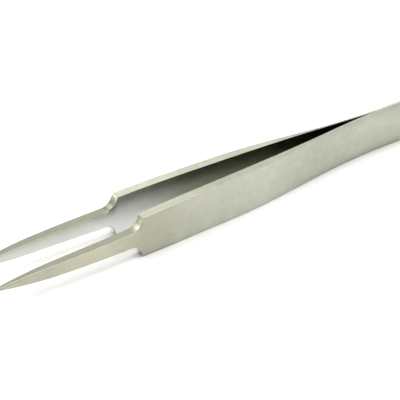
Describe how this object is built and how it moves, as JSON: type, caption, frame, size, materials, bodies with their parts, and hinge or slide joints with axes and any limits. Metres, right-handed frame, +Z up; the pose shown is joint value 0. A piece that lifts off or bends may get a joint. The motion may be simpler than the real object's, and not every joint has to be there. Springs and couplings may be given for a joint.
{
  "type": "straight tweezers",
  "caption": "Straight spring-steel tweezers with flat inner faces, stepped shoulders and fine pointed ends, welded at the tail.",
  "frame": {"origin": "middle of the bounding box at its foot, midway between the two blades on the surface that they stand on", "axes": "+X from the points to the welded tail, +Y across the gap towards the right arm, +Z up across the blades' width"},
  "size_m": [0.12, 0.0116, 0.01],
  "materials": {
    "satin_steel": "satin ground stainless steel"
  },
  "bodies": {
    "root": {"left_arm": "satin_steel", "right_arm": "satin_steel"}
  },
  "joints": []
}
